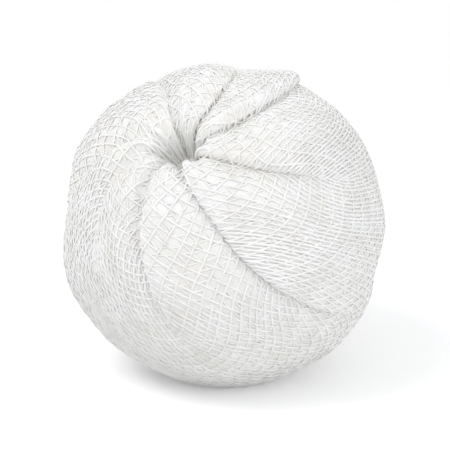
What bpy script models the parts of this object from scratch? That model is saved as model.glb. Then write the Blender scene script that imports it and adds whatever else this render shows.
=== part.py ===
"""A gauze ball: one square of absorbent cotton gauze, drawn together over itself and tucked in.

The cloth runs smooth over the far side, gathers towards one point in knife folds and lobed pleats,
and goes into a small tuck hole there. The ball rests on a small flat spot. Lengths are in metres, +Z is up.
"""

import math
from dataclasses import dataclass

import bmesh
import bpy
from mathutils import Vector, noise

MM = 0.001

# Ball
BALL_DIAMETER = 30.0 * MM
# How far the soft ball gives at the spot that it rests on
REST_SQUASH = 1.0 * MM
# Width of the rounded edge of the rest spot and of each pressed side
PRESS_BLEND = 0.35 * MM

# Tuck hole, into which the cloth's corners go
TUCK_MOUTH = 2.4 * MM
TUCK_DEPTH = 6.5 * MM
TUCK_ELEVATION = math.radians(45.0)
TUCK_HEADING = math.radians(-25.0)
TUCK_LIP_SHARPNESS = 2.5
# Share of their size that folds and lobes keep inside the mouth, where the cloth is pulled tight
TUCK_TIGHTNESS = 0.45

# Folds sweep round the ball as they leave the tuck, by this much for each radian away from it
FOLD_SWEEP = 0.55
# Length over which a fold dies out, and over which its columns of points spread out again
FOLD_FADE = math.radians(42.0)
COLUMN_SPREAD = math.radians(45.0)
# A folded edge is at most this share of the cloth between it and the next one
FOLD_CROWDING = 0.42

# Lobes of slack cloth between the folds, as a share of the cloth between them
LOBE_HEIGHT = 0.23
LOBE_REACH = math.radians(32.0)

# Unevenness of the wadded cloth under the outer ply
LUMP_HEIGHT = 0.50 * MM
LUMP_SPACING = 7.5 * MM
CRUMPLE_HEIGHT = 0.14 * MM
CRUMPLE_SPACING = 3.2 * MM

CREASE_WIDTH = 1.5 * MM

# Points of the surface: rows go from the tuck to the far side, columns go round. Each fold has its own
# columns, and the cloth between the folds shares out the panel columns by its width.
ROWS = 57
PANEL_COLUMNS = 48
ROW_CROWDING = 1.35


@dataclass(frozen=True)
class Fold:
    """A knife fold: where it leaves the tuck, how far it bows to a side on its way, how far from the tuck
    it reaches, and how thick its edge is.
    """

    heading: float
    bow: float
    reach: float
    thickness: float


@dataclass(frozen=True)
class Press:
    """A side pressed flatter than the round ball: its direction and how deep the press went."""

    heading: float
    elevation: float
    depth: float


@dataclass(frozen=True)
class Crease:
    """A shallow line in the cloth between two directions, each given as angle from the tuck and heading.

    A depth presses a groove, and a step lifts one side, where a ply below ends.
    """

    start: tuple
    end: tuple
    depth: float
    step: float


FOLDS = [
    Fold(math.radians(2), math.radians(6), math.radians(126), 0.85 * MM),
    Fold(math.radians(38), math.radians(-4), math.radians(72), 0.60 * MM),
    Fold(math.radians(88), math.radians(-16), math.radians(90), 0.50 * MM),
    Fold(math.radians(141), math.radians(10), math.radians(124), 0.65 * MM),
    Fold(math.radians(176), math.radians(4), math.radians(62), 0.60 * MM),
    Fold(math.radians(222), math.radians(-8), math.radians(86), 0.75 * MM),
    Fold(math.radians(279), math.radians(-20), math.radians(120), 0.90 * MM),
    Fold(math.radians(325), math.radians(-12), math.radians(70), 0.70 * MM),
]

PRESSES = [
    Press(math.radians(-100), math.radians(8), 0.55 * MM),
    Press(math.radians(82), math.radians(-12), 0.60 * MM),
    Press(math.radians(160), math.radians(30), 0.70 * MM),
    Press(math.radians(20), math.radians(-28), 0.40 * MM),
    Press(math.radians(60), math.radians(62), 0.20 * MM),
]

CREASES = [
    Crease((math.radians(70), math.radians(150)), (math.radians(150), math.radians(95)), 0.40 * MM, 0.0),
    Crease((math.radians(95), math.radians(330)), (math.radians(165), math.radians(10)), 0.35 * MM, 0.0),
    Crease((math.radians(120), math.radians(200)), (math.radians(168), math.radians(300)), 0.30 * MM, 0.0),
    Crease((math.radians(60), math.radians(60)), (math.radians(125), math.radians(20)), 0.0, 0.40 * MM),
    Crease((math.radians(75), math.radians(260)), (math.radians(140), math.radians(215)), 0.0, 0.35 * MM),
]

# Section across a folded edge, in thicknesses of the fold: across the surface, then up from it.
# The ply below runs in under the edge, and the edge turns over it in a round.
FOLD_SECTION = [
    (-1.10, 0.00),
    (-0.45, -0.05),
    (0.18, -0.14),
    (-0.20, 0.22),
    (-0.12, 0.66),
    (0.25, 0.94),
    (0.90, 1.00),
]
FOLD_COLUMNS = len(FOLD_SECTION)
CREASE_COLUMN = 2

BALL_RADIUS = BALL_DIAMETER / 2


def smooth_step(value):
    """Eases from 0 to 1 as the value goes from 0 to 1."""
    held = min(1.0, max(0.0, value))
    return held * held * (3 - 2 * held)


def direction(heading, elevation):
    """The unit vector that points that way: heading 0 is the front, -Y, and it turns towards +X."""
    flat = math.cos(elevation)
    return Vector((flat * math.sin(heading), -flat * math.cos(heading), math.sin(elevation)))


TUCK_AXIS = direction(TUCK_HEADING, TUCK_ELEVATION)
TUCK_TURN = Vector((0, 0, 1)).rotation_difference(TUCK_AXIS).to_matrix()


def from_tuck(angle, heading):
    """The unit vector at that angle from the tuck, in the resting ball's frame."""
    flat = math.sin(angle)
    return TUCK_TURN @ Vector((flat * math.cos(heading), flat * math.sin(heading), math.cos(angle)))


def tuck_profile(angle):
    """Distance from the ball's centre to the drawn-in cloth, before folds and presses."""
    mouth_angle = TUCK_MOUTH / 2 / BALL_RADIUS
    drawn_in = math.exp(-((angle / (1.5 * mouth_angle)) ** TUCK_LIP_SHARPNESS))
    return BALL_RADIUS - TUCK_DEPTH * drawn_in


def profile_normal(angle):
    """Outward normal of the profile, as its share away from the tuck axis and its share along it."""
    small = 0.002
    inner, outer = max(0.0, angle - small), min(math.pi, angle + small)
    along = [tuck_profile(a) * math.cos(a) for a in (inner, outer)]
    away = [tuck_profile(a) * math.sin(a) for a in (inner, outer)]
    rise, run = along[1] - along[0], away[1] - away[0]
    length = math.hypot(rise, run)
    return -rise / length, run / length


def press_gap(towards, normal, plane_distance):
    """How far a flat press at that distance from the centre pushes in the ball's surface."""
    facing = towards.dot(normal)
    if facing < 0.2:
        return 0.0
    gap = BALL_RADIUS - plane_distance / facing
    # A quadratic blend joins the pressed side to the round one
    if gap <= -PRESS_BLEND:
        return 0.0
    if gap >= PRESS_BLEND:
        return gap
    return (gap + PRESS_BLEND) ** 2 / (4 * PRESS_BLEND)


def pressed_in(towards):
    """How far the rest spot and the pressed sides move the surface in, in that direction."""
    total = press_gap(towards, Vector((0, 0, -1)), BALL_RADIUS - REST_SQUASH)
    for press in PRESSES:
        normal = direction(press.heading, press.elevation)
        total += press_gap(towards, normal, BALL_RADIUS - press.depth)
    return total


def relief_share(towards):
    """1 over most of the ball, falling to 0 over the rest spot, where everything is pressed flat."""
    spot = math.acos(1 - REST_SQUASH / BALL_RADIUS)
    from_below = towards.angle(Vector((0, 0, -1)))
    return smooth_step((from_below - 1.15 * spot) / spot)


def fold_heading(index, angle):
    """Heading of a fold at that angle from the tuck. An index past the last fold goes on round."""
    turns, own = divmod(index, len(FOLDS))
    fold = FOLDS[own]
    return fold.heading + 2 * math.pi * turns + FOLD_SWEEP * angle + fold.bow * math.sin(angle)


def panel_columns(index):
    """Columns of points between that fold and the next, by their distance half-way round the ball."""
    ends = [fold_heading(i, math.pi / 2) - fold_heading(0, math.pi / 2) for i in (index, index + 1)]
    start, end = (round(PANEL_COLUMNS * heading / (2 * math.pi)) for heading in ends)
    return end - start


def slack(away):
    """Share of their size that folds and lobes have there: 1 outside the mouth, less in it."""
    return TUCK_TIGHTNESS + (1 - TUCK_TIGHTNESS) * smooth_step(away / TUCK_MOUTH - 0.3)


def fold_room(gap, away):
    """The thickest that a folded edge can be with that much cloth to the next one."""
    return FOLD_CROWDING * slack(away) * gap * away


def fold_edge(index, angle, away):
    """Thickness of a fold's edge there: its own, less where folds crowd at the tuck and where it dies out."""
    fold = FOLDS[index % len(FOLDS)]
    gap = fold_heading(index + 1, angle) - fold_heading(index, angle)
    fade = smooth_step((fold.reach - angle) / FOLD_FADE)
    return min(fold.thickness, fold_room(gap, away)) * fade


def gathering(index, angle):
    """1 where the columns of points close in on a fold, 0 where they are evenly spread past its end."""
    return smooth_step((FOLDS[index % len(FOLDS)].reach + COLUMN_SPREAD / 3 - angle) / COLUMN_SPREAD)


def fold_column(index, column, angle, away):
    """Heading and height of one point of a fold's section."""
    across, up = FOLD_SECTION[column]
    edge = fold_edge(index, angle, away)
    fold = FOLDS[index % len(FOLDS)]
    gap = fold_heading(index + 1, angle) - fold_heading(index, angle)
    before = fold_heading(index, angle) - fold_heading(index - 1, angle)
    width = min(fold.thickness, fold_room(gap, away), fold_room(before, away))
    turned_over = smooth_step(edge / (0.5 * width)) if width else 0.0
    # Where the fold has died out its points lie side by side instead of over each other
    flat_across = (column - CREASE_COLUMN - 1) / 2.5
    closed_in = (turned_over * across + (1 - turned_over) * flat_across) * width / away
    band, width_of_band = (index, gap) if column > CREASE_COLUMN else (index - 1, before)
    spread_out = (column - CREASE_COLUMN - 1) * width_of_band / (FOLD_COLUMNS + panel_columns(band))
    share = gathering(index, angle)
    heading = fold_heading(index, angle) + share * closed_in + (1 - share) * spread_out
    return heading, up * edge


def panel_column(index, column, angle, away):
    """Heading and height of a point on the cloth between a fold and the next one."""
    start, top = fold_column(index, FOLD_COLUMNS - 1, angle, away)
    end, _ = fold_column(index + 1, 0, angle, away)
    share = (column - FOLD_COLUMNS + 1) / (panel_columns(index) + 1)
    return start + share * (end - start), top * (1 - share) ** 1.4


def lobe_height(index, heading, angle, away):
    """How far the slack cloth between two folds bulges."""
    start = fold_heading(index, angle)
    gap = fold_heading(index + 1, angle) - start
    share = min(1.0, max(0.0, (heading - start) / gap))
    reach = math.exp(-((angle / LOBE_REACH) ** 1.3))
    return LOBE_HEIGHT * slack(away) * reach * gap * away * math.sin(math.pi * share)


def crease_height(crease, towards):
    """Height that one crease takes from the surface or adds to it."""
    start, end = (from_tuck(*place) for place in (crease.start, crease.end))
    across = start.cross(end).normalized()
    offset = math.asin(max(-1.0, min(1.0, towards.dot(across)))) * BALL_RADIUS
    along = towards - across * towards.dot(across)
    span = start.angle(end)
    middle = (start + end).normalized()
    share = 1 - along.angle(middle, math.pi) / (span / 2)
    if share <= 0:
        return 0.0
    line = math.exp(-((offset / CREASE_WIDTH) ** 2))
    ply = 0.5 * (1 + math.tanh(offset / CREASE_WIDTH)) * math.exp(-max(0.0, offset) / (5 * CREASE_WIDTH))
    return smooth_step(1.6 * share) * (crease.step * ply - crease.depth * line)


def lump_height(towards):
    """Unevenness of the wadding at that direction."""
    lump = noise.noise(towards * (BALL_RADIUS / LUMP_SPACING) + Vector((3.1, 1.7, 5.2)))
    crumple = noise.noise(towards * (BALL_RADIUS / CRUMPLE_SPACING) + Vector((8.4, 2.9, 6.6)))
    return LUMP_HEIGHT * lump + CRUMPLE_HEIGHT * crumple


PLACES = [(index, own) for index in range(len(FOLDS)) for own in range(FOLD_COLUMNS + panel_columns(index))]
COLUMNS = len(PLACES)


def surface_point(row, column):
    """The point of the cloth's outer surface at that row and column, from the ball's centre."""
    # The row nearest to the tuck's bottom is left out, where points would lie too close together
    angle = math.pi * ((row + 1) / (ROWS + 1)) ** ROW_CROWDING if row else 0.0
    if row in (0, ROWS):
        heading, height, away = 0.0, 0.0, 0.0
    else:
        away = tuck_profile(angle) * math.sin(angle)
        index, own = PLACES[column]
        place = fold_column if own < FOLD_COLUMNS else panel_column
        heading, height = place(index, own, angle, away)
        height += lobe_height(index - 1 if own < CREASE_COLUMN else index, heading, angle, away)
    towards = from_tuck(angle, heading)
    relief = lump_height(towards) + sum(crease_height(crease, towards) for crease in CREASES)
    relief *= smooth_step(away / TUCK_MOUTH - 0.2) if angle < math.pi / 2 else 1.0
    share_away, share_along = profile_normal(angle)
    side = TUCK_TURN @ Vector((math.cos(heading), math.sin(heading), 0))
    normal = side * share_away + TUCK_AXIS * share_along
    base = towards * (tuck_profile(angle) - pressed_in(towards))
    return base + normal * (height + relief) * relief_share(towards)


def make_mesh():
    """The ball's mesh: a sphere whose rows and columns of points are drawn in to the tuck and folded."""
    shape = bmesh.new()
    bmesh.ops.create_uvsphere(shape, u_segments=COLUMNS, v_segments=ROWS, radius=1.0)
    for point in shape.verts:
        row = round(math.acos(max(-1.0, min(1.0, point.co.z))) / math.pi * ROWS)
        column = round(math.atan2(point.co.y, point.co.x) / (2 * math.pi) * COLUMNS) % COLUMNS
        point.co = surface_point(row, column)
    rest_on_floor(shape.verts)
    bmesh.ops.recalc_face_normals(shape, faces=shape.faces)
    mesh = bpy.data.meshes.new("gauze_ball")
    shape.to_mesh(mesh)
    shape.free()
    return mesh


def rest_on_floor(points):
    """Stands the ball on z = 0, over the middle of its own outline seen from above."""
    middle = [(min(p.co[i] for p in points) + max(p.co[i] for p in points)) / 2 for i in (0, 1)]
    for point in points:
        point.co.x -= middle[0]
        point.co.y -= middle[1]
        point.co.z = max(0.0, point.co.z + BALL_RADIUS - REST_SQUASH)


def gauze_material():
    """Bleached absorbent cotton: dull, white, with a trace of warmth."""
    material = bpy.data.materials.new("bleached_gauze")
    material.use_nodes = True
    shader = material.node_tree.nodes["Principled BSDF"]
    shader.inputs["Base Color"].default_value = (0.86, 0.86, 0.84, 1.0)
    shader.inputs["Roughness"].default_value = 0.92
    shader.inputs["Metallic"].default_value = 0.0
    return material


def main():
    for old in list(bpy.data.objects):
        bpy.data.objects.remove(old)
    collection = bpy.data.collections.new("gauze_ball")
    bpy.context.scene.collection.children.link(collection)
    ball = bpy.data.objects.new("gauze_ball", make_mesh())
    ball.data.materials.append(gauze_material())
    ball.data.shade_smooth()
    collection.objects.link(ball)


main()
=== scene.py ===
"""Looks of the gauze ball: two plies of woven cotton over wadding, gathered and tucked into one hole.

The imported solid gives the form. The wadding under the weave is that solid, smoothed and finely puckered. The
threads of the outer ply and of the ply under it are laid out on the flat cloth, and then carried on to the
ball fold by fold, so that a fold hides the cloth that a real one hides. Lengths are in metres.
"""

import logging
import math
from collections.abc import Iterable
from dataclasses import dataclass, field
from enum import Enum

import bmesh
import bpy
import numpy as np
from mathutils import Matrix, Vector, noise
from mathutils.bvhtree import BVHTree

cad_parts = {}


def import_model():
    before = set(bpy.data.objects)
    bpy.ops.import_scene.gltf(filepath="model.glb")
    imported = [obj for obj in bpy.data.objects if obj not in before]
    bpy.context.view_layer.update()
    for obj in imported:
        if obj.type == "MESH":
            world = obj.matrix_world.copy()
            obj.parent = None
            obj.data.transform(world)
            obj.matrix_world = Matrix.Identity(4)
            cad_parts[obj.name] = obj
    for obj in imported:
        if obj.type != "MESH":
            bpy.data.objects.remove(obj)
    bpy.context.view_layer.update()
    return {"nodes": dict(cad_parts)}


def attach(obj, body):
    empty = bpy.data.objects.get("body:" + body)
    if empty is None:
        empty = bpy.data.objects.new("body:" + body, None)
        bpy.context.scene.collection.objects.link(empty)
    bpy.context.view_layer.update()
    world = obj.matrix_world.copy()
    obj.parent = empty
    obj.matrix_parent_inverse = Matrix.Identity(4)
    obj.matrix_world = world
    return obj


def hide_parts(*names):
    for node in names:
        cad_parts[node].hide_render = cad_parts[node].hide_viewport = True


MM = 0.001
BALL_NODE = "gauze_ball"

# Cotton fibre bends light as cellulose does, and its rough tangle gives little of it back as gloss
FIBRE_IOR = 1.5
FIBRE_GLOSS = 0.2

# Keep a division off zero
NO_LENGTH = 1e-12
NO_ANGLE = 1e-6

log = logging.getLogger("gauze_ball")


def linear(colour: str) -> tuple[float, float, float, float]:
    """Turns an sRGB hex colour to linear.

    Args:
        colour: the colour, as in "#F4F2EE".

    Returns:
        Red, green, blue and a full alpha, in linear light.
    """
    parts = [int(colour[i : i + 2], 16) / 255 for i in (1, 3, 5)]
    red, green, blue = (c / 12.92 if c <= 0.04045 else ((c + 0.055) / 1.055) ** 2.4 for c in parts)
    return red, green, blue, 1.0


def eased(value: np.ndarray) -> np.ndarray:
    """Eases from 0 to 1 as the value goes from 0 to 1."""
    held = np.clip(value, 0.0, 1.0)
    return held * held * (3.0 - 2.0 * held)


def unit(rows: np.ndarray) -> np.ndarray:
    """The vectors, one or a row each, brought to a length of 1."""
    return rows / np.maximum(np.linalg.norm(rows, axis=-1, keepdims=True), NO_LENGTH)


def add_node(
    tree: bpy.types.NodeTree,
    kind: str,
    settings: dict | None = None,
    links: dict | None = None,
) -> bpy.types.Node:
    """Adds a node with its settings and links.

    Args:
        tree: the node tree that the node goes into.
        kind: Blender's name for the kind of node.
        settings: values by the name of a property or of an input. An input may also go by its number.
        links: output sockets by the name or number of the input that each one feeds.

    Returns:
        The new node.
    """
    node = tree.nodes.new(kind)
    for name, value in (settings or {}).items():
        if isinstance(name, str) and hasattr(node, name):
            setattr(node, name, value)
        else:
            node.inputs[name].default_value = value
    for name, socket in (links or {}).items():
        tree.links.new(socket, node.inputs[name])
    return node


def start_material(name: str) -> tuple[bpy.types.Material, bpy.types.NodeTree]:
    """Makes an empty node material.

    Args:
        name: the material's name.

    Returns:
        The material and its node tree.
    """
    material = bpy.data.materials.new(name)
    material.use_nodes = True
    material.node_tree.nodes.clear()
    return material, material.node_tree


@dataclass(frozen=True)
class Mottle:
    """Soft patches of two whites in bleached cotton: their size, detail, and where each white is full."""

    size: float
    detail: float
    shaded_below: float
    lit_above: float

    def colour(
        self,
        tree: bpy.types.NodeTree,
        place: bpy.types.NodeSocket,
        shaded: str,
        lit: str,
    ) -> bpy.types.NodeSocket:
        """Adds the patches to a material.

        Args:
            tree: the material's node tree.
            place: where a point is on the piece.
            shaded: the darker white, as sRGB hex.
            lit: the lighter white.

        Returns:
            The colour of the patches.
        """
        patches = add_node(
            tree,
            "ShaderNodeTexNoise",
            {"Scale": 1 / self.size, "Detail": self.detail},
            {"Vector": place},
        )
        tint = add_node(tree, "ShaderNodeMix", {"data_type": "RGBA", 6: linear(shaded), 7: linear(lit)})
        spread = add_node(
            tree,
            "ShaderNodeMapRange",
            {"From Min": self.shaded_below, "From Max": self.lit_above},
            {"Value": patches.outputs["Fac"]},
        )
        tree.links.new(spread.outputs["Result"], tint.inputs["Factor"])
        return tint.outputs[2]


@dataclass(frozen=True)
class BleachedWadding:
    """Cotton gauze, woven, scoured and bleached, as seen through the mesh of the plies over it.

    Many loose plies scatter light deep into the ball, so it reads as a soft white body with warm shade in
    its hollows and no gloss, and each ply below shows faintly as a blurred mesh.
    """

    lit: str = "#F8F7F5"
    shaded: str = "#F2EFE9"
    mottle: Mottle = Mottle(size=5.0 * MM, detail=3.0, shaded_below=0.35, lit_above=0.62)
    roughness: float = 0.95
    scatter: float = 0.3
    scatter_depth: float = 1.0 * MM
    # Red light goes deepest into the plies and blue least, which warms the shade
    scatter_spread: tuple[float, float, float] = (1.0, 0.86, 0.68)
    sheen: float = 0.2
    sheen_roughness: float = 0.6
    ply_pitch: float = 1.0 * MM
    ply_blur: float = 0.6
    relief: float = 0.10 * MM
    relief_strength: float = 0.5

    def material(self) -> bpy.types.Material:
        """Builds the wadding's material.

        Returns:
            The material.
        """
        material, tree = start_material("bleached_wadding")
        place = add_node(tree, "ShaderNodeTexCoord").outputs["Object"]
        colour = self.mottle.colour(tree, place, self.shaded, self.lit)
        # The blurred mesh of the plies below, as small soft cells one thread spacing apart
        cells = add_node(
            tree,
            "ShaderNodeTexVoronoi",
            {"feature": "SMOOTH_F1", "Scale": 1 / self.ply_pitch, "Smoothness": self.ply_blur},
            {"Vector": place},
        )
        bump = add_node(
            tree,
            "ShaderNodeBump",
            {"Strength": self.relief_strength, "Distance": self.relief, "invert": True},
            {"Height": cells.outputs["Distance"]},
        )
        shader = add_node(
            tree,
            "ShaderNodeBsdfPrincipled",
            {
                "Roughness": self.roughness,
                "IOR": FIBRE_IOR,
                "Specular IOR Level": FIBRE_GLOSS,
                "Subsurface Weight": self.scatter,
                "Subsurface Radius": self.scatter_spread,
                "Subsurface Scale": self.scatter_depth,
                "Sheen Weight": self.sheen,
                "Sheen Roughness": self.sheen_roughness,
            },
            {"Base Color": colour, "Normal": bump.outputs["Normal"]},
        )
        add_node(tree, "ShaderNodeOutputMaterial", links={"Surface": shader.outputs["BSDF"]})
        return material


@dataclass(frozen=True)
class CottonYarn:
    """Single cotton yarn, loosely spun, woven and bleached.

    Its short fibres stand off the twist, so it is matt and bright with a soft pale rim, a little uneven
    in thickness and white, and the twist shows as a fine slant.
    """

    name: str
    lit: str
    shaded: str
    # Slubs, the thicker and whiter stretches of the yarn
    mottle: Mottle = Mottle(size=2.2 * MM, detail=2.0, shaded_below=0.3, lit_above=0.6)
    roughness: float = 0.88
    rim: float = 0.12
    rim_roughness: float = 0.5
    # The twist is 0.1 mm a turn, too fine to show, so it is drawn three times as coarse
    twist: float = 0.3 * MM
    twist_detail: float = 1.0
    relief: float = 0.03 * MM
    relief_strength: float = 0.6

    def material(self) -> bpy.types.Material:
        """Builds the yarn's material.

        Returns:
            The material.
        """
        material, tree = start_material(self.name)
        place = add_node(tree, "ShaderNodeTexCoord").outputs["Object"]
        colour = self.mottle.colour(tree, place, self.shaded, self.lit)
        fibres = add_node(
            tree,
            "ShaderNodeTexNoise",
            {"Scale": 1 / self.twist, "Detail": self.twist_detail},
            {"Vector": place},
        )
        bump = add_node(
            tree,
            "ShaderNodeBump",
            {"Strength": self.relief_strength, "Distance": self.relief},
            {"Height": fibres.outputs["Fac"]},
        )
        shader = add_node(
            tree,
            "ShaderNodeBsdfPrincipled",
            {
                "Roughness": self.roughness,
                "IOR": FIBRE_IOR,
                "Specular IOR Level": FIBRE_GLOSS,
                "Sheen Weight": self.rim,
                "Sheen Roughness": self.rim_roughness,
            },
            {"Base Color": colour, "Normal": bump.outputs["Normal"]},
        )
        add_node(tree, "ShaderNodeOutputMaterial", links={"Surface": shader.outputs["BSDF"]})
        return material


@dataclass(frozen=True)
class StudioPaper:
    """Matt white studio paper, which takes the ball's soft shadow and runs out into plain white."""

    colour: str = "#F6F6F6"
    roughness: float = 0.3
    # Light that only the camera sees, so that the paper comes near white and lights nothing
    lift: float = 0.22
    # From the middle of the floor, the paper starts to fade to white, and is all white
    near: float = 42 * MM
    far: float = 120 * MM

    def material(self) -> bpy.types.Material:
        """Builds the paper's material.

        Returns:
            The material.
        """
        material, tree = start_material("studio_paper")
        seen = add_node(tree, "ShaderNodeLightPath").outputs["Is Camera Ray"]
        paper = add_node(
            tree,
            "ShaderNodeBsdfDiffuse",
            {"Color": linear(self.colour), "Roughness": self.roughness},
        )
        lift = add_node(tree, "ShaderNodeMath", {"operation": "MULTIPLY", 1: self.lift}, {0: seen})
        glow = add_node(tree, "ShaderNodeEmission", links={"Strength": lift.outputs[0]})
        lifted = add_node(tree, "ShaderNodeAddShader", links={0: paper.outputs[0], 1: glow.outputs[0]})
        place = add_node(tree, "ShaderNodeTexCoord").outputs["Object"]
        away = add_node(tree, "ShaderNodeVectorMath", {"operation": "LENGTH"}, {0: place})
        fade = add_node(
            tree,
            "ShaderNodeMapRange",
            {"interpolation_type": "SMOOTHSTEP", "From Min": self.near, "From Max": self.far},
            {"Value": away.outputs["Value"]},
        )
        share = add_node(tree, "ShaderNodeMath", {"operation": "MULTIPLY"}, {0: fade.outputs[0], 1: seen})
        white = add_node(tree, "ShaderNodeEmission", {"Strength": 1.0})
        surface = add_node(
            tree,
            "ShaderNodeMixShader",
            links={0: share.outputs[0], 1: lifted.outputs[0], 2: white.outputs[0]},
        )
        add_node(tree, "ShaderNodeOutputMaterial", links={"Surface": surface.outputs[0]})
        return material


@dataclass(frozen=True)
class FoldLine:
    """A folded edge of the cloth: where it leaves the tuck, its bow, how far it runs and its thickness."""

    heading: float
    bow: float
    reach: float
    thickness: float


@dataclass
class ClothLay:
    """How the flat square lies on the ball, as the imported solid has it."""

    # The middle of the ball's round, which its folds put a little off the middle of its box
    centre: Vector = field(default_factory=lambda: Vector((0.072 * MM, 0.018 * MM, 14.0 * MM)))
    radius: float = 15.0 * MM
    tuck_heading: float = math.radians(-25.0)
    tuck_elevation: float = math.radians(45.0)
    # The folds sweep round the ball by this much for each radian away from the tuck
    sweep: float = 0.55
    fade: float = math.radians(42.0)
    # Where a thread turns over a fold's edge, and where one goes in under it, in thicknesses of the fold
    turn_over: float = 0.12
    go_under: float = 0.26
    clearance: float = 0.05 * MM
    # The cloth comes no nearer to the tuck's axis than this
    nearest: float = 0.3 * MM
    # A fold is no thicker than this share of its distance from that axis
    crowding: float = 0.3
    # A thread runs on from panel to panel in the last part of a fold, this share of its fade
    run_on: float = 0.25
    # Past this angle from the tuck it also runs on between panels that aren't neighbours
    far_side: float = math.radians(150)
    folds: tuple[FoldLine, ...] = (
        FoldLine(math.radians(2), math.radians(6), math.radians(126), 0.85 * MM),
        FoldLine(math.radians(38), math.radians(-4), math.radians(72), 0.60 * MM),
        FoldLine(math.radians(88), math.radians(-16), math.radians(90), 0.50 * MM),
        FoldLine(math.radians(141), math.radians(10), math.radians(124), 0.65 * MM),
        FoldLine(math.radians(176), math.radians(4), math.radians(62), 0.60 * MM),
        FoldLine(math.radians(222), math.radians(-8), math.radians(86), 0.75 * MM),
        FoldLine(math.radians(279), math.radians(-20), math.radians(120), 0.90 * MM),
        FoldLine(math.radians(325), math.radians(-12), math.radians(70), 0.70 * MM),
    )

    def tuck_axis(self) -> Vector:
        """Finds the way to the tuck.

        Returns:
            The unit vector from the ball's centre to the tuck.
        """
        flat = math.cos(self.tuck_elevation)
        front = -flat * math.cos(self.tuck_heading)
        return Vector((flat * math.sin(self.tuck_heading), front, math.sin(self.tuck_elevation)))

    def turn(self) -> Matrix:
        """The turn that takes +Z to the tuck."""
        return Vector((0, 0, 1)).rotation_difference(self.tuck_axis()).to_matrix()

    def away(self, angle: np.ndarray) -> np.ndarray:
        """Distance of the cloth from the tuck's axis at those angles from the tuck."""
        return np.maximum(self.radius * np.sin(angle), self.nearest)

    def crease(self, index: int, angle: np.ndarray) -> np.ndarray:
        """Finds where a fold's crease runs.

        Args:
            index: the fold's number. Past the last, the count goes on round the ball.
            angle: angles from the tuck.

        Returns:
            The crease's heading at each angle.
        """
        turns, own = divmod(index, len(self.folds))
        fold = self.folds[own]
        return fold.heading + 2 * math.pi * turns + self.sweep * angle + fold.bow * np.sin(angle)

    def thickness(self, index: int, angle: np.ndarray) -> np.ndarray:
        """Finds the height of a fold's edge.

        Args:
            index: the fold's number. Past the last, the count goes on round the ball.
            angle: angles from the tuck.

        Returns:
            The height at each angle: less where folds crowd at the tuck, and where the fold dies out.
        """
        fold = self.folds[index % len(self.folds)]
        uncrowded = np.minimum(fold.thickness, self.crowding * self.away(angle))
        return uncrowded * eased((fold.reach - angle) / self.fade)

    def edges(self, panel: int, angle: np.ndarray) -> tuple[np.ndarray, np.ndarray]:
        """Finds where the cloth of a panel comes in sight and goes out of it.

        Args:
            panel: the panel's number, which is that of the fold before it.
            angle: angles from the tuck.

        Returns:
            The heading of its own folded edge, and that of the line where it goes in under the next fold.
        """
        away = self.away(angle)
        start = self.crease(panel, angle) - self.turn_over * self.thickness(panel, angle) / away
        height = self.thickness(panel + 1, angle)
        hidden = self.go_under * height + np.minimum(self.clearance, height)
        return start, self.crease(panel + 1, angle) - hidden / away

    def visible_share(self, index: int, angle: np.ndarray) -> np.ndarray:
        """Finds how much of the cloth's own turn shows on the panel after a fold.

        Args:
            index: the panel's number.
            angle: angles from the tuck.

        Returns:
            1 where no cloth is hidden, and less where the folds hold the rest.
        """
        unpleated = np.sin(angle) / np.maximum(math.pi - angle, NO_ANGLE)
        reach = min(self.folds[i % len(self.folds)].reach for i in (index, index + 1))
        dying = eased((angle - reach + self.fade) / self.fade)
        return unpleated + (1.0 - unpleated) * dying

    def place(self, across: np.ndarray, along: np.ndarray) -> tuple[np.ndarray, ...]:
        """Finds where points of the flat cloth lie on the ball.

        Args:
            across: the points' first coordinate on the flat cloth, from its middle.
            along: their second.

        Returns:
            Each point's angle from the tuck and its heading, the panel that it shows on, or that is nearest
            if a fold hides it, and its side: 0 where it shows, -1 past its panel's own fold, and 1 under the
            next one.
        """
        out = np.hypot(across, along)
        angle = math.pi - out / self.radius
        own = np.arctan2(along, across) + self.sweep * angle
        headings, pasts = [], []
        for panel in range(len(self.folds)):
            start, end = self.edges(panel, angle)
            middle = (start + end) / 2
            offset = (own - middle + math.pi) % (2 * math.pi) - math.pi
            heading = middle + offset / self.visible_share(panel, angle)
            held = np.clip(heading, start, end)
            headings.append(held)
            pasts.append(heading - held)
        best = np.argmin(np.abs(np.array(pasts)), axis=0)
        points = np.arange(len(best))
        side = np.sign(np.array(pasts)[best, points])
        return angle, np.array(headings)[best, points], best, side

    def joined(self, first: int, second: int, angle: float) -> bool:
        """Says whether the cloth runs on from one panel to another with no fold between.

        Args:
            first: a panel's number.
            second: the other panel's number.
            angle: the angle from the tuck.

        Returns:
            True if they are one panel, or neighbours past the end of their fold.
        """
        if first == second:
            return True
        count = len(self.folds)
        if (first + 1) % count == second:
            between = self.folds[second]
        elif (second + 1) % count == first:
            between = self.folds[first]
        else:
            return angle > self.far_side
        return angle > between.reach - self.run_on * self.fade

    def towards(self, angle: np.ndarray, heading: np.ndarray) -> np.ndarray:
        """Turns angles and headings to ways in space.

        Args:
            angle: angles from the tuck.
            heading: headings round it.

        Returns:
            Unit vectors from the ball's centre.
        """
        aside = np.sin(angle)
        local = np.stack([aside * np.cos(heading), aside * np.sin(heading), np.cos(angle)], axis=-1)
        return local @ np.array(self.turn()).T

    def polar(self, points: np.ndarray) -> tuple[np.ndarray, np.ndarray]:
        """Finds where points in space lie round the tuck.

        Args:
            points: the points.

        Returns:
            Each point's angle from the tuck, and its heading.
        """
        local = (points - np.array(self.centre)) @ np.array(self.turn())
        angle = np.arctan2(np.hypot(local[:, 0], local[:, 1]), local[:, 2])
        return angle, np.arctan2(local[:, 1], local[:, 0])

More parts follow.
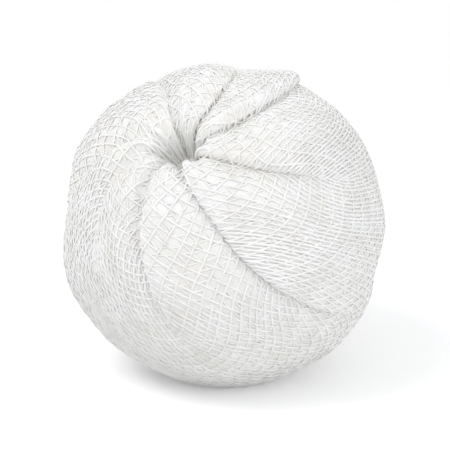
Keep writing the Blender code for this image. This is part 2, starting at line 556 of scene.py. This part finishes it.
    def surface(self, way: Vector, tree: BVHTree) -> tuple[Vector | None, Vector | None]:
        """The point where the body is met from outside, that way from its centre, and its normal there."""
        return tree.ray_cast(self.centre + way * 2 * self.radius, -way)[:2]


def mesh_piece(name: str, points: np.ndarray, faces: Iterable) -> bpy.types.Object:
    """Makes a smooth mesh object.

    Args:
        name: the piece's name.
        points: its vertices.
        faces: its faces, as lists of vertex numbers.

    Returns:
        The new object, linked to the scene.
    """
    mesh = bpy.data.meshes.new(name)
    mesh.from_pydata(points.tolist(), [], list(faces))
    mesh.shade_smooth()
    piece = bpy.data.objects.new(name, mesh)
    bpy.context.scene.collection.objects.link(piece)
    return piece


@dataclass
class Wadding:
    """The body of the ball under its woven plies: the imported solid, smoothed and finely puckered."""

    lay: ClothLay
    finish: BleachedWadding = field(default_factory=BleachedWadding)
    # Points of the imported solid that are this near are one
    weld: float = 0.0005 * MM
    # The weave stands on the body, so the body is let in by about a thread, and by more where it rests
    let_in: float = 0.10 * MM
    rest_gap: float = 0.16 * MM
    # Puckers run out from the tuck: their height, how far they reach, how many there are and how they break
    pucker: float = 0.17 * MM
    pucker_reach: float = math.radians(62)
    puckers_round: float = 7.0
    puckers_along: float = 1.6
    # Noise seldom comes near 1, so it is raised by this to give about the full height
    pucker_gain: float = 1.6
    # A pucker starts at the tuck's axis and is full where the sine of the angle is one part in this many
    pucker_start: float = 4.0
    # The wadding under the cloth is crumpled all over
    crumple: float = 0.07 * MM
    crumple_size: float = 2.6 * MM
    # The rest spot is pressed flat up to this height, and the relief grows back over this much more
    pressed_height: float = 0.3 * MM
    pressed_blend: float = 1.5 * MM
    # The cloth tucked in ends this far below the ball's round, a little unevenly
    tucked_depth: float = 3.6 * MM
    tucked_width: float = 3.0 * MM
    tucked_relief: float = 0.25 * MM
    tucked_grain: float = 0.6 * MM
    tucked_fill: float = 0.9

    def build(self, solid: bpy.types.Object) -> bpy.types.Object:
        """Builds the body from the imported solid.

        Args:
            solid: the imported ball.

        Returns:
            The body.
        """
        shape = bmesh.new()
        shape.from_mesh(solid.data)
        bmesh.ops.remove_doubles(shape, verts=shape.verts, dist=self.weld)
        rough = bpy.data.meshes.new("wadding_rough")
        shape.to_mesh(rough)
        shape.free()
        body = bpy.data.objects.new("wadding", rough)
        bpy.context.scene.collection.objects.link(body)
        smooth = body.modifiers.new("smooth", "SUBSURF")
        smooth.levels = smooth.render_levels = 1
        bpy.context.view_layer.update()
        evaluated = body.evaluated_get(bpy.context.evaluated_depsgraph_get())
        body.data = bpy.data.meshes.new_from_object(evaluated)
        body.modifiers.clear()
        self.relieve(body.data)
        body.data.shade_smooth()
        return body

    def relieve(self, mesh: bpy.types.Mesh) -> None:
        """Moves the body's points to their fine relief, and off the floor by the thickness of the weave.

        Args:
            mesh: the body's mesh.
        """
        points = np.empty(len(mesh.vertices) * 3)
        mesh.vertices.foreach_get("co", points)
        points = points.reshape(-1, 3)
        normals = np.array([v.normal for v in mesh.vertices])
        angle, heading = self.lay.polar(points)
        ring = self.puckers_round
        streaks = [
            noise.noise(Vector((math.cos(h) * ring, math.sin(h) * ring, a * self.puckers_along)))
            for h, a in zip(heading - self.lay.sweep * angle, angle)
        ]
        near = np.exp(-((angle / self.pucker_reach) ** 2))
        near *= np.clip(np.sin(angle) * self.pucker_start, 0.0, 1.0)
        crumples = [noise.noise(Vector(p) / self.crumple_size) for p in points]
        lift = self.pucker * near * np.array(streaks) * self.pucker_gain
        lift += self.crumple * np.array(crumples) - self.let_in
        lift *= eased((points[:, 2] - self.pressed_height) / self.pressed_blend)
        points += normals * lift[:, None]
        points = self.tuck_in(points)
        points[:, 2] = np.maximum(points[:, 2], self.rest_gap)
        mesh.vertices.foreach_set("co", points.ravel())
        mesh.update()

    def tuck_in(self, points: np.ndarray) -> np.ndarray:
        """Raises the bottom of the hole to the end of the cloth that is tucked into it.

        Args:
            points: the body's points.

        Returns:
            The points, with those in the hole raised.
        """
        turn = np.array(self.lay.turn())
        local = (points - np.array(self.lay.centre)) @ turn
        inside = (np.hypot(local[:, 0], local[:, 1]) < self.tucked_width / 2) & (local[:, 2] > 0)
        bulge = np.array([noise.noise(Vector(p) / self.tucked_grain) for p in local[inside]])
        floor = self.lay.radius - self.tucked_depth + self.tucked_relief * bulge
        local[inside, 2] += self.tucked_fill * np.maximum(floor - local[inside, 2], 0.0)
        return local @ turn.T + np.array(self.lay.centre)

    def dress(self, body: bpy.types.Object) -> None:
        """Gives the body its finish and its place in the frame.

        Args:
            body: the body.
        """
        body.data.materials.clear()
        body.data.materials.append(self.finish.material())
        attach(body, "root")
        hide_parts(BALL_NODE)


class ThreadSet(Enum):
    """The two sets of threads of a woven cloth."""

    WARP = "warp"
    WEFT = "weft"


@dataclass(frozen=True)
class EndLead:
    """How a thread's end goes out of sight: this far on, and this far down."""

    on: float
    down: float


@dataclass
class ThreadRun:
    """A stretch of thread that shows on the ball: its points, and how each end goes out of sight."""

    angle: np.ndarray
    heading: np.ndarray
    rise: np.ndarray
    first: EndLead
    last: EndLead


@dataclass
class LaidThreads:
    """Real threads laid on the body."""

    name: str
    lay: ClothLay
    yarn: bpy.types.Material
    sides: int = 6
    seed: int = 7
    # A thread is stiffer than the mesh is fine, so each point is drawn this much to its neighbours
    stiffness: float = 0.5

    def drape(self, angle: np.ndarray, heading: np.ndarray, tree: BVHTree) -> tuple[np.ndarray, np.ndarray]:
        """Drops points on to the body from outside.

        Args:
            angle: their angles from the tuck.
            heading: their headings.
            tree: the body's surface.

        Returns:
            The points on the body, and a smooth outward normal at each.
        """
        met = [self.lay.surface(Vector(way), tree) for way in self.lay.towards(angle, heading)]
        line, normal = np.array([hit for hit, _ in met]), np.array([out for _, out in met])
        for rows in (line, normal):
            drawn = self.stiffness / 2 * (rows[:-2] + rows[2:])
            rows[1:-1] = (1 - self.stiffness) * rows[1:-1] + drawn
        # But it stays on the body where it bends over a fold's edge
        for spot, point in enumerate(line):
            under, out, _, _ = tree.find_nearest(Vector(point))
            line[spot] += np.array(out) * max(0.0, (under - Vector(point)).dot(out))
        return line, unit(normal)

    def lead_out(
        self,
        line: np.ndarray,
        normal: np.ndarray,
        first: EndLead,
        last: EndLead,
    ) -> tuple[np.ndarray, np.ndarray]:
        """Adds a point past each end of a thread, where it goes out of sight.

        Args:
            line: the thread's points.
            normal: its outward normals.
            first: how its first end goes out of sight.
            last: how its last end does.

        Returns:
            The points and normals with the two added.
        """
        points, normals = [*line], [*normal]
        for lead, own, before, spot in ((first, 0, 1, 0), (last, -1, -2, len(points) + 1)):
            up = unit(line[own] - np.array(self.lay.centre))
            out = line[own] - line[before]
            out = unit(out - up * out.dot(up))
            points.insert(spot, line[own] + out * lead.on - up * lead.down)
            normals.insert(spot, unit(up * lead.on + out * lead.down))
        turned = np.array(normals)
        turned[[1, -2]] += turned[[0, -1]]
        return np.array(points), unit(turned)

    def spin(
        self,
        line: np.ndarray,
        normal: np.ndarray,
        width: float,
        thickness: float,
        points: list[np.ndarray],
        faces: list[tuple[int, ...]],
    ) -> None:
        """Adds a flattened round thread along a line.

        Args:
            line: the points along its middle.
            normal: the outward normals there.
            width: its width along the body.
            thickness: its thickness off the body.
            points: the piece's points so far, which the thread's are added to.
            faces: the piece's faces so far, in the same way.
        """
        along = unit(np.gradient(line, axis=0))
        side = unit(np.cross(along, normal))
        up = np.cross(side, along)
        base = sum(len(p) for p in points)
        turns = 2 * math.pi * np.arange(self.sides) / self.sides
        ring = [
            line + side * (math.cos(t) * width / 2) + up * (math.sin(t) * thickness / 2) for t in turns
        ]
        points.append(np.stack(ring, axis=1).reshape(-1, 3))
        for row in range(len(line) - 1):
            for own in range(self.sides):
                after = (own + 1) % self.sides
                low, high = base + row * self.sides, base + (row + 1) * self.sides
                faces.append((low + own, low + after, high + after, high + own))
        faces.append(tuple(base + i for i in reversed(range(self.sides))))
        faces.append(tuple(base + (len(line) - 1) * self.sides + i for i in range(self.sides)))

    def dress(self, pieces: list[bpy.types.Object]) -> None:
        """Gives pieces made of these threads their finish and their place in the frame.

        Args:
            pieces: the pieces.
        """
        for piece in pieces:
            piece.data.materials.append(self.yarn)
            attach(piece, "root")
            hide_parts(BALL_NODE)


@dataclass
class WovenPly(LaidThreads):
    """One ply of plain-woven gauze: 12 warp and 8 weft threads in a centimetre."""

    warp_pitch: float = 10 / 12 * MM
    weft_pitch: float = 10 / 8 * MM
    warp_width: float = 0.21 * MM
    weft_width: float = 0.24 * MM
    thickness: float = 0.11 * MM
    crimp: float = 0.035 * MM
    stand_off: float = 0.06 * MM
    sides: int = 5
    grain: float = math.radians(24)
    shift: tuple[float, float] = (0.0, 0.0)
    # Uneven weaving: each thread's own offset and size, and a slow drift of the whole cloth
    uneven: float = 0.07 * MM
    uneven_size: float = 0.08
    drift: float = 0.32 * MM
    drift_size: float = 7.0 * MM
    drift_apart: float = 3.7
    # No thread is drawn nearer to the tuck than this, where the cloth is gathered
    mouth: float = math.radians(3.5)
    steps_per_pitch: int = 4
    fewest_points: int = 3
    # A thread's end sinks into the body in the open, or goes in under the next fold
    sunk: EndLead = EndLead(on=0.20 * MM, down=0.25 * MM)
    under: EndLead = EndLead(on=0.25 * MM, down=0.15 * MM)
    # Over a fold's own edge it goes further down, by this share of the fold, in steps half as long
    over: EndLead = EndLead(on=0.06 * MM, down=0.05 * MM)
    over_share: float = 0.75
    over_points: int = 4

    def flat_thread(self, kind: ThreadSet, number: int, rng: np.random.Generator) -> tuple[np.ndarray, ...]:
        """Lays out one thread on the flat cloth.

        Args:
            kind: warp or weft.
            number: the thread's number from the cloth's middle.
            rng: the ply's random numbers.

        Returns:
            The two flat coordinates of its points, and its rise over and under the other threads.
        """
        own, other = self.warp_pitch, self.weft_pitch
        if kind is ThreadSet.WEFT:
            own, other = other, own
        reach = self.lay.radius * (math.pi - self.mouth)
        line = number * own + rng.normal(0.0, self.uneven)
        if abs(line) >= reach:
            return np.empty(0), np.empty(0), np.empty(0)
        half = math.sqrt(reach * reach - line * line)
        step = other / self.steps_per_pitch
        run = np.arange(math.ceil(-half / step), math.floor(half / step) + 1) * step
        rise = self.crimp * np.cos(math.pi * (run / other + number + (kind is ThreadSet.WEFT)))
        sheet = self.drift_apart * self.seed
        drift = [noise.noise(Vector((line / self.drift_size, r / self.drift_size, sheet))) for r in run]
        across, along = line + self.drift * np.array(drift), run
        if kind is ThreadSet.WEFT:
            across, along = along, across
        turn = complex(math.cos(self.grain), math.sin(self.grain))
        flat = (across + self.shift[0] + 1j * (along + self.shift[1])) * turn
        return flat.real, flat.imag, rise

    def runs(self, kind: ThreadSet) -> list[ThreadRun]:
        """Finds each stretch of thread that shows on the ball.

        Args:
            kind: warp or weft.

        Returns:
            The stretches.
        """
        rng = np.random.default_rng(self.seed + (kind is ThreadSet.WEFT))
        pitch = self.warp_pitch if kind is ThreadSet.WARP else self.weft_pitch
        most = int(self.lay.radius * math.pi / pitch) + 1
        found = []
        for number in range(-most, most + 1):
            across, along, rise = self.flat_thread(kind, number, rng)
            if len(across) <= self.fewest_points:
                continue
            angle, heading, panel, side = self.lay.place(across, along)
            shows = (side == 0) & (angle > self.mouth)
            start = None
            for i in range(len(shows) + 1):
                here = i < len(shows) and bool(shows[i])
                if start is not None and (not here or not self.lay.joined(panel[i - 1], panel[i], angle[i])):
                    found.append(self.stretch(start, i, angle, heading, rise, panel, side))
                    start = None
                if here and start is None:
                    start = i
        return [run for run in found if len(run.angle) >= self.fewest_points]

    def stretch(
        self,
        start: int,
        end: int,
        angle: np.ndarray,
        heading: np.ndarray,
        rise: np.ndarray,
        panel: np.ndarray,
        side: np.ndarray,
    ) -> ThreadRun:
        """Takes one stretch of a thread, on to the folds that hide the rest.

        Args:
            start: the number of its first point in sight.
            end: the number after its last.
            angle: all the thread's angles from the tuck.
            heading: its headings.
            rise: its rise over and under the other threads.
            panel: the panels that it lies on.
            side: where each of its points is hidden.

        Returns:
            The stretch.
        """
        taken, leads, turned = [start, end - 1], [], [False, False]
        for which, (own, ahead) in enumerate(((start, start - 1), (end - 1, end))):
            lead = self.sunk
            if 0 <= ahead < len(angle) and panel[ahead] == panel[own] and side[ahead]:
                taken[which] = ahead
                turned[which] = bool(side[ahead] < 0)
                fold = float(self.lay.thickness(panel[own], angle[ahead]))
                over = EndLead(self.over.on, self.over_share * fold + self.over.down)
                lead = over if turned[which] else self.under
            leads.append(lead)
        part = slice(taken[0], taken[1] + 1)
        steps = np.arange(float(taken[1] - taken[0] + 1))
        few = self.over_points
        near = [steps[:few] if turned[0] else steps[:0], steps[-few:] if turned[1] else steps[:0]]
        spots = np.union1d(steps, np.concatenate([(n[1:] + n[:-1]) / 2 for n in near]))
        whole = (angle[part], np.unwrap(heading[part]), rise[part])
        return ThreadRun(*(np.interp(spots, steps, line) for line in whole), leads[0], leads[1])

    def build(self, kind: ThreadSet, tree: BVHTree) -> bpy.types.Object:
        """Builds one set of threads.

        Args:
            kind: warp or weft.
            tree: the body's surface.

        Returns:
            The threads, as one object.
        """
        # The sizes come from a seed of their own
        rng = np.random.default_rng(self.seed + 10)
        width = self.warp_width if kind is ThreadSet.WARP else self.weft_width
        points, faces = [], []
        for run in self.runs(kind):
            line, normal = self.drape(run.angle, run.heading, tree)
            line += normal * (self.stand_off + run.rise)[:, None]
            line, normal = self.lead_out(line, normal, run.first, run.last)
            size = rng.normal(1.0, self.uneven_size)
            self.spin(line, normal, width * size, self.thickness * size, points, faces)
        cloud = np.concatenate(points)
        cloud[:, 2] = np.maximum(cloud[:, 2], 0.0)
        return mesh_piece(f"{self.name}_{kind.value}", cloud, faces)


@dataclass
class TuckGathers(LaidThreads):
    """Threads of the crowded pleats, which run side by side down into the tuck."""

    count: int = 76
    width: float = 0.17 * MM
    thickness: float = 0.13 * MM
    # A thread starts at this angle from the tuck, or up to this many times it
    deepest: float = math.radians(2.4)
    start_spread: float = 1.5
    # It ends somewhere between these
    nearest: float = math.radians(7.5)
    furthest: float = math.radians(19)
    # Unevenness: aside in shares of the spacing, along in radians, in height and in size
    aside: float = 0.4
    waver: float = 0.10
    uneven: float = 0.02 * MM
    uneven_size: float = 0.12
    steps: int = 26
    # The middle stands out by this share of the thickness, and the ends sink in over a few steps
    stand_off: float = 0.25
    end_steps: int = 4

    def build(self, tree: BVHTree) -> bpy.types.Object:
        """Builds the gathered threads.

        Args:
            tree: the body's surface.

        Returns:
            The threads, as one object.
        """
        rng = np.random.default_rng(self.seed)
        points, faces = [], []
        step = np.arange(self.steps)
        sunk = 1.0 - eased(np.minimum(step, step[::-1]) / self.end_steps)
        for number in range(self.count):
            start = self.deepest * rng.uniform(1.0, self.start_spread)
            angle = np.linspace(start, rng.uniform(self.nearest, self.furthest), self.steps)
            own = 2 * math.pi * (number + rng.uniform(-self.aside, self.aside)) / self.count
            drift = self.waver * rng.normal() * np.sin(math.pi * (angle - start) / self.furthest)
            line, normal = self.drape(angle, own + self.lay.sweep * angle + drift, tree)
            height = self.thickness * (self.stand_off - sunk) + rng.normal(0.0, self.uneven)
            line += normal * height[:, None]
            size = rng.normal(1.0, self.uneven_size)
            self.spin(line, normal, self.width * size, self.thickness * size, points, faces)
        return mesh_piece(self.name, np.concatenate(points), faces)


@dataclass
class Lint:
    """Short cotton fibres that stand off the yarn."""

    lay: ClothLay
    yarn: bpy.types.Material
    count: int = 1500
    shortest: float = 0.35 * MM
    longest: float = 1.5 * MM
    thickness: float = 0.02 * MM
    # A fibre starts on the yarn, this far off the body, and none starts this near to the floor
    root: float = 0.1 * MM
    floor_gap: float = 1.0 * MM
    # How steeply a fibre rises, how far it droops and shortens, how much it curls and how fine it ends
    flattest: float = 0.15
    steepest: float = 0.8
    droop: float = 0.45
    slack: float = 0.2
    curl: float = 0.5
    taper: float = 0.6
    steps: int = 3
    sides: int = 3
    seed: int = 21

    def build(self, tree: BVHTree) -> bpy.types.Object:
        """Builds the fibres.

        Args:
            tree: the body's surface.

        Returns:
            The fibres, as one object.
        """
        rng = np.random.default_rng(self.seed)
        points, faces = [], []
        for _ in range(self.count):
            way = Vector(rng.normal(size=3)).normalized()
            hit, normal = self.lay.surface(way, tree)
            if hit is None or hit.z < self.floor_gap:
                continue
            self.add_fibre(hit, normal, rng, points, faces)
        return mesh_piece("lint", np.array(points), faces)

    def add_fibre(
        self,
        foot: Vector,
        normal: Vector,
        rng: np.random.Generator,
        points: list[Vector],
        faces: list[tuple[int, ...]],
    ) -> None:
        """Adds one fibre.

        Args:
            foot: the point of the body that it stands on.
            normal: the outward normal there.
            rng: the fibres' random numbers.
            points: the piece's points so far, which the fibre's are added to.
            faces: the piece's faces so far, in the same way.
        """
        side = normal.cross(Vector(rng.normal(size=3))).normalized()
        across = normal.cross(side)
        length = rng.uniform(self.shortest, self.longest)
        lean = rng.uniform(self.flattest, self.steepest)
        curl = across * rng.normal(0.0, self.curl)
        base = len(points)
        for step in range(self.steps + 1):
            t = step / self.steps
            rise = self.root + length * lean * (t - self.droop * t * t)
            spine = foot + normal * rise + side * length * t * (1 - self.slack * t)
            spine += curl * length * t * t
            wide = self.thickness * (1 - self.taper * t)
            for corner in range(self.sides):
                a = 2 * math.pi * corner / self.sides
                points.append(spine + (normal * math.cos(a) + across * math.sin(a)) * wide / 2)
        for step in range(self.steps):
            low, high = base + self.sides * step, base + self.sides * (step + 1)
            for corner in range(self.sides):
                after = (corner + 1) % self.sides
                faces.append((low + corner, low + after, high + after, high + corner))

    def dress(self, piece: bpy.types.Object) -> None:
        """Gives the fibres their finish and their place in the frame.

        Args:
            piece: the fibres.
        """
        piece.data.materials.append(self.yarn)
        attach(piece, "root")


@dataclass(frozen=True)
class SoftLamp:
    """A square lamp aimed at the ball: its name, where it stands, the length of its side and its watts."""

    name: str
    place: tuple[float, float, float]
    size: float
    power: float


@dataclass
class Studio:
    """A white paper floor, a soft main lamp above and to the left, a weak fill, and the camera."""

    # What the camera and the lamps aim at
    target: Vector = field(default_factory=lambda: Vector((0.0, 0.0, 14.2 * MM)))
    camera_elevation: float = math.radians(18)
    camera_distance: float = 235 * MM
    camera_clip: float = 10 * MM
    lens: float = 200.0
    floor_radius: float = 0.9
    floor_sides: int = 96
    lamps: tuple[SoftLamp, ...] = (
        SoftLamp("main_lamp", place=(-0.17, -0.10, 0.31), size=0.16, power=0.4),
        SoftLamp("fill_lamp", place=(0.26, -0.28, 0.12), size=0.25, power=0.3),
    )
    ambient: float = 0.83
    ambient_colour: str = "#F4F5F7"

    def build(self) -> None:
        """Builds the floor, the lamps, the world and the camera."""
        self.add_floor()
        for lamp in self.lamps:
            self.add_lamp(lamp)
        self.add_world()
        self.add_camera()
        bpy.context.scene.view_settings.view_transform = "Standard"

    def add_floor(self) -> None:
        """Adds the floor."""
        shape = bmesh.new()
        bmesh.ops.create_circle(shape, cap_ends=True, segments=self.floor_sides, radius=self.floor_radius)
        mesh = bpy.data.meshes.new("studio_floor")
        shape.to_mesh(mesh)
        shape.free()
        mesh.materials.append(StudioPaper().material())
        floor = bpy.data.objects.new("studio_floor", mesh)
        bpy.context.scene.collection.objects.link(floor)

    def add_lamp(self, made: SoftLamp) -> None:
        """Adds a lamp aimed at the ball.

        Args:
            made: what the lamp is.
        """
        light = bpy.data.lights.new(made.name, "AREA")
        light.shape = "SQUARE"
        light.size = made.size
        light.energy = made.power
        lamp = bpy.data.objects.new(made.name, light)
        lamp.location = made.place
        lamp.rotation_euler = (self.target - Vector(made.place)).to_track_quat("-Z", "Y").to_euler()
        bpy.context.scene.collection.objects.link(lamp)

    def add_world(self) -> None:
        """Adds a world that is white to the camera and gives a plain cool fill otherwise."""
        world = bpy.data.worlds.new("studio_world")
        world.use_nodes = True
        tree = world.node_tree
        tree.nodes.clear()
        path = add_node(tree, "ShaderNodeLightPath")
        first = add_node(
            tree,
            "ShaderNodeMath",
            {"operation": "MAXIMUM"},
            {0: path.outputs["Is Camera Ray"], 1: path.outputs["Is Glossy Ray"]},
        )
        seen = add_node(
            tree,
            "ShaderNodeMath",
            {"operation": "MAXIMUM"},
            {0: first.outputs[0], 1: path.outputs["Is Transmission Ray"]},
        )
        fill = add_node(
            tree,
            "ShaderNodeBackground",
            {"Color": linear(self.ambient_colour), "Strength": self.ambient},
        )
        white = add_node(tree, "ShaderNodeBackground", {"Color": (1.0, 1.0, 1.0, 1.0), "Strength": 1.0})
        mixed = add_node(
            tree,
            "ShaderNodeMixShader",
            links={0: seen.outputs[0], 1: fill.outputs[0], 2: white.outputs[0]},
        )
        add_node(tree, "ShaderNodeOutputWorld", links={"Surface": mixed.outputs[0]})
        bpy.context.scene.world = world

    def add_camera(self) -> None:
        """Adds the camera, straight ahead of the ball and a little above it."""
        data = bpy.data.cameras.new("camera")
        data.lens = self.lens
        data.sensor_fit = "HORIZONTAL"
        data.clip_start = self.camera_clip
        camera = bpy.data.objects.new("camera", data)
        back = Vector((0, -math.cos(self.camera_elevation), math.sin(self.camera_elevation)))
        camera.location = self.target + back * self.camera_distance
        camera.rotation_euler = (self.target - camera.location).to_track_quat("-Z", "Y").to_euler()
        bpy.context.scene.collection.objects.link(camera)
        bpy.context.scene.camera = camera


def report(piece: bpy.types.Object) -> None:
    """Logs a piece's name and how many faces it has."""
    log.info("%s: %d faces", piece.name, len(piece.data.polygons))


def main() -> None:
    """Builds the ball's looks and the studio, and reports each piece."""
    logging.basicConfig(level=logging.INFO, format="%(name)s: %(message)s")
    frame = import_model()
    lay = ClothLay()
    wadding = Wadding(lay)
    body = wadding.build(frame["nodes"][BALL_NODE])
    wadding.dress(body)
    report(body)
    tree = BVHTree.FromObject(body, bpy.context.evaluated_depsgraph_get())
    yarn = CottonYarn("bleached_yarn", "#F7F7F6", "#F0EFEC").material()
    outer = WovenPly("outer_ply", lay, yarn)
    under = WovenPly(
        "under_ply",
        lay,
        CottonYarn("bleached_yarn_under", "#F7F6F4", "#F0EEEA").material(),
        stand_off=0.0,
        grain=math.radians(61),
        shift=(0.4 * MM, 0.5 * MM),
        sides=4,
        steps_per_pitch=3,
        seed=12,
    )
    for ply in (outer, under):
        sets = [ply.build(kind, tree) for kind in ThreadSet]
        ply.dress(sets)
        for threads in sets:
            report(threads)
    gathers = TuckGathers("tuck_gathers", lay, yarn)
    gathered = gathers.build(tree)
    gathers.dress([gathered])
    report(gathered)
    lint = Lint(lay, CottonYarn("cotton_lint", "#FAFAF8", "#F2F1EE").material())
    fibres = lint.build(tree)
    lint.dress(fibres)
    report(fibres)
    Studio().build()


if __name__ == "__main__":
    main()
